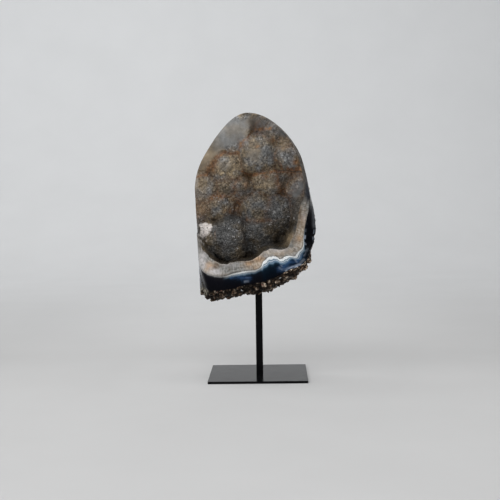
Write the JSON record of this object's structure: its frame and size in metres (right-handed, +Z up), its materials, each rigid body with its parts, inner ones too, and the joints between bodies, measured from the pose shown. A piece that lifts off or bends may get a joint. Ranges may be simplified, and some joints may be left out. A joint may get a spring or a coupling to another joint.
{
  "type": "agate chunk on a stand",
  "caption": "Upright chunk of agate geode with a lumpy quartz hollow, a banded polished lip and rough rock behind, held on a square steel post and plate.",
  "frame": {"origin": "centre of the base plate's underside", "axes": "+Z up along the post, the hollow faces -Y, +X to the right of someone who faces the hollow"},
  "size_m": [0.1228, 0.1, 0.2703],
  "materials": {
    "agate": "banded blue-black agate with a polished rim, brown knobbly rock behind",
    "quartz_crust": "grey-brown drusy quartz with iron stain, cream where it is sawn",
    "black_steel": "gloss black"
  },
  "bodies": {
    "root": {"agate_chunk": "agate", "druse_crust": "quartz_crust", "stand_post": "black_steel", "stand_base": "black_steel"}
  },
  "joints": []
}
